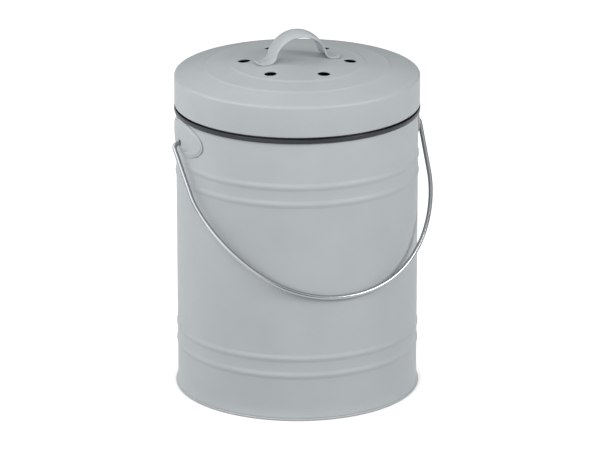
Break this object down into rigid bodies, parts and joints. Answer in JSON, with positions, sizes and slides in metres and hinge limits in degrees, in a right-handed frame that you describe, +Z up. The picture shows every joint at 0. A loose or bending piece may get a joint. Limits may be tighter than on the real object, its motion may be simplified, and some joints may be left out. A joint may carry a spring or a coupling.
{
  "type": "compost pail",
  "caption": "Round steel kitchen compost pail with swinging wire bail, lift-out inner bucket and vented lift-off lid that holds a carbon filter.",
  "frame": {"origin": "on the floor, at the middle of the base ring that the pail stands on", "axes": "+Z up along the pail's axis; X along the bail's hinge axis and the lid's handle; the bail rests on the front of the wall, towards -Y"},
  "size_m": [0.1982, 0.1858, 0.2764],
  "materials": {
    "powder_coat": "semi-matte grey powder coat",
    "plated_wire": "bright zinc plate",
    "black_plastic": "satin black",
    "carbon_felt": "carbon-loaded felt"
  },
  "bodies": {
    "pail": {"pail_wall": "powder_coat", "base_pan": "powder_coat", "ear_left": "powder_coat", "ear_right": "powder_coat"},
    "bail": {"bail_wire": "plated_wire"},
    "bucket": {"inner_bucket": "black_plastic"},
    "lid": {"lid_cap": "powder_coat", "lid_handle": "powder_coat", "filter_holder": "black_plastic"},
    "filter": {"filter_cover": "black_plastic", "carbon_filter": "carbon_felt"}
  },
  "joints": [
    {"name": "bail_swing", "type": "hinge", "parent": "pail", "child": "bail", "pos_m": [0, 0, 0.1975], "axis": [-1, 0, 0], "range_deg": [0, 275.4]},
    {"name": "bucket_lift", "type": "slide", "parent": "pail", "child": "bucket", "axis": [0, 0, 1], "range_m": [0, 0.22]},
    {"name": "lid_lift", "type": "slide", "parent": "bucket", "child": "lid", "axis": [0, 0, 1], "range_m": [0, 0.06]},
    {"name": "filter_pull", "type": "slide", "parent": "lid", "child": "filter", "axis": [0, 0, -1], "range_m": [0, 0.03]}
  ]
}
